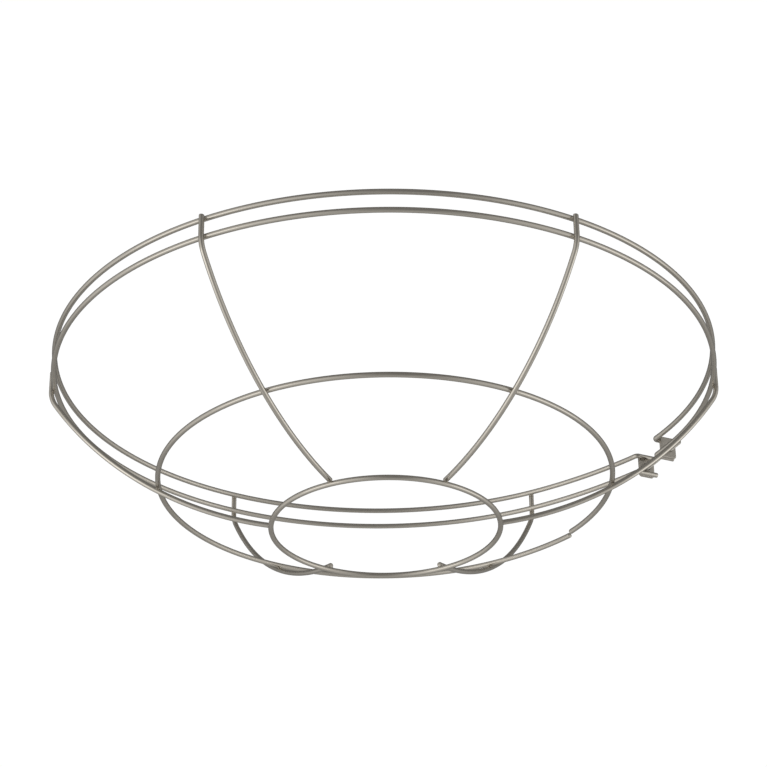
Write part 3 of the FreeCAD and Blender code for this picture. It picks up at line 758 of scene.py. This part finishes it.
def finishPiece(name, node, surface, material, smoothAngle=None):
    # mesh, attributes, finish and its node's place; weldHeat, how near a weld each point is, is
    # the sum of exp(-(distance / heat)^2), at most 1
    points, faces, straight = surface
    piece = putMesh(name, points, faces, smoothAngle)
    putAttribute(piece, "straightWire", straight * mm)
    nearness = sum(np.exp(-((points - place) ** 2).sum(1) / weld["heat"] ** 2)
                   for place in weldPlaces)
    putAttribute(piece, "weldHeat", np.clip(nearness, 0, 1))
    piece.data.materials.append(material)
    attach(piece, "root")
    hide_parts(node)


crease = {"rib": 40, "ring": 50, "clamp": 35}      # sharper edges than this stay sharp
ribs = [makeRib(index) for index in range(len(ribSet["names"]))]
for name, surface in zip(ribSet["names"], ribs):
    finishPiece("rib" + name, "rib_" + name.lower(), surface, nickelWire, crease["rib"])
print("six ribs and their welds are in")
upperRing = makeRim(cage["upperRim"], rimSet["upperPast"], rimSet["upperCut"])
lowerRing = makeRim(lowerRim, rimSet["lowerPast"], rimSet["lowerCut"])
finishPiece("bottomRing", "bottom_ring", makeBottomRing(), nickelWire)
finishPiece("middleRing", "middle_ring", makeMiddleRing(), nickelWire, crease["ring"])
finishPiece("upperRim", "upper_rim_ring", upperRing, nickelWire, crease["ring"])
finishPiece("lowerRim", "lower_rim_ring", lowerRing, nickelWire, crease["ring"])
print("four rings are in")
tapped, plain = makePlate(-1, plateSet["tappedHole"]), makePlate(1, plateSet["plainHole"])
screw = joinSurfaces(makeShank(), makeHead())
finishPiece("tappedPlate", "tapped_plate", tapped, plateNickel, crease["clamp"])
finishPiece("plainPlate", "plain_plate", plain, plateNickel, crease["clamp"])
finishPiece("clampScrew", "clamp_screw", screw, screwZinc, crease["clamp"])
print("clamp is in")


def makeFloor():
    # disc in rings, radius r at turn t, pale in the middle and fading into the white round it; seen
    # from above only, so that a low camera looks up past it
    floor = {"rings": (0.02, 0.5, 1.0, 2.0, 4.0, 9.0), "around": 64, "roughness": 0.7,
             "pale": (0.86, 0.86, 0.85, 1), "fadeFrom": 0.9, "fadeTo": 3.2}
    size = (len(floor["rings"]), floor["around"])
    r = np.array(floor["rings"])[:, None] / mm
    t = np.linspace(0, 2 * np.pi, floor["around"], endpoint=False)[None]
    points = np.stack([r * np.cos(t), r * np.sin(t), 0 * r * t], -1).reshape(-1, 3)
    piece = putMesh("floor", points, turnFaces(gridFaces(*size) + endFaces(*size)[:1]))
    material, tree, shader, output = newMaterial("paleFloor", metallic=0.0)
    shader.inputs["Roughness"].default_value = floor["roughness"]
    shader.inputs["Base Color"].default_value = floor["pale"]
    space = addNode(tree, "ShaderNodeTexCoord").outputs["Object"]
    away = addNode(tree, "ShaderNodeVectorMath", {0: space}, operation="LENGTH").outputs["Value"]
    fade = addRange(tree, away, floor["fadeFrom"], floor["fadeTo"], kind="SMOOTHSTEP")
    white = addNode(tree, "ShaderNodeEmission", {"Strength": 1.0})
    body = addNode(tree, "ShaderNodeMixShader",
                   {0: fade, 1: shader.outputs[0], 2: white.outputs[0]})
    clear = addNode(tree, "ShaderNodeBsdfTransparent")
    back = addNode(tree, "ShaderNodeNewGeometry").outputs["Backfacing"]
    toCamera = addNode(tree, "ShaderNodeLightPath").outputs["Is Camera Ray"]
    seen = addMath(tree, "MULTIPLY", addMath(tree, "SUBTRACT", 1.0, back), toCamera)
    whole = addNode(tree, "ShaderNodeMixShader",
                    {0: seen, 1: clear.outputs[0], 2: body.outputs[0]})
    tree.links.new(whole.outputs[0], output.inputs["Surface"])
    piece.data.materials.append(material)


makeFloor()


def wayTo(bearing, height):
    # unit vector: bearing in degrees from +Y towards +X, height in degrees above the floor
    bearing, height = math.radians(bearing), math.radians(height)
    return (math.sin(bearing) * math.cos(height), math.cos(bearing) * math.cos(height),
            math.sin(height))


def makeLights():
    # soft panels: each stands at aim + away x its way, and faces back along it
    panels = {
        "leftPanel": {"bearing": -116.0, "height": -20.0, "away": 1.5,
                      "size": (1.0, 0.6), "power": 1.3},
        "rightPanel": {"bearing": 98.0, "height": -20.0, "away": 1.5,
                       "size": (1.0, 0.6), "power": 1.1},
        "topPanel": {"bearing": -110.0, "height": 50.0, "away": 1.8,
                     "size": (0.9, 0.9), "power": 0.5},
    }
    aim, color = Vector((0, 0, 0.06)), (1.0, 0.985, 0.96)
    for name, panel in panels.items():
        toward = Vector(wayTo(panel["bearing"], panel["height"]))
        data = bpy.data.lights.new(name, "AREA")
        data.shape, (data.size, data.size_y) = "RECTANGLE", panel["size"]
        data.energy, data.color = panel["power"], color
        light = bpy.data.objects.new(name, data)
        bpy.context.scene.collection.objects.link(light)
        light.location = aim + toward * panel["away"]
        light.rotation_euler = toward.to_track_quat("Z", "Y").to_euler()
        light.visible_camera = False


def makeWorld():
    # White to the eye and for soft light on the floor. In the metal, a dim room: its level goes
    # from high to low as the direction sinks, and each lobe adds gain times the smoothstep of
    # direction . lobe
    room = {"high": 0.24, "low": 0.49, "highAt": 0.5, "lowAt": -0.9,
            "warm": (1.0, 0.985, 0.955, 1), "plain": (1, 1, 1, 1), "white": 1.03}
    # bearing, height, from, to, gain
    lobes = {
        "leftWall": (-106.0, -12.0, 0.34, 0.92, 0.40),
        "rightWall": (104.0, -10.0, 0.46, 0.95, 0.32),
        "front": (158.0, -30.0, 0.58, 0.97, -0.15),
        "ceiling": (0.0, 62.0, 0.55, 0.95, -0.05),
        "behind": (4.0, -8.0, 0.50, 0.95, -0.10),
        "behindLeft": (-26.0, -6.0, 0.80, 0.98, 0.05),
        "behindRight": (34.0, -6.0, 0.80, 0.98, 0.07),
        "frontLeft": (-150.0, -12.0, 0.75, 0.97, 0.09),
        "frontRight": (132.0, -12.0, 0.75, 0.97, 0.08),
    }
    world = bpy.data.worlds.new("paleRoom")
    bpy.context.scene.world = world
    world.use_nodes = True
    tree = world.node_tree
    tree.nodes.clear()
    space = addNode(tree, "ShaderNodeTexCoord").outputs["Generated"]
    way = addNode(tree, "ShaderNodeVectorMath", {0: space}, operation="NORMALIZE").outputs[0]
    sink = addNode(tree, "ShaderNodeSeparateXYZ", {0: way}).outputs["Z"]
    level = addRange(tree, sink, room["highAt"], room["lowAt"], room["high"], room["low"],
                     "SMOOTHSTEP")
    for name, (bearing, height, start, full, gain) in lobes.items():
        facing = addNode(tree, "ShaderNodeVectorMath", {0: way, 1: wayTo(bearing, height)},
                         operation="DOT_PRODUCT", label=name).outputs["Value"]
        near = addRange(tree, facing, start, full, 0.0, gain, "SMOOTHSTEP")
        level = addMath(tree, "ADD", level, near)
    inMetal = addNode(tree, "ShaderNodeLightPath").outputs["Is Glossy Ray"]
    strength = addNode(tree, "ShaderNodeMix", {"Factor": inMetal, 2: room["white"], 3: level},
                       data_type="FLOAT").outputs[0]
    tint = addBlend(tree, inMetal, room["plain"], room["warm"])
    glow = addNode(tree, "ShaderNodeBackground", {"Color": tint, "Strength": strength})
    addNode(tree, "ShaderNodeOutputWorld", {"Surface": glow.outputs[0]})


makeLights()
makeWorld()
bpy.context.scene.view_settings.view_transform = "Standard"
print("lights are on")
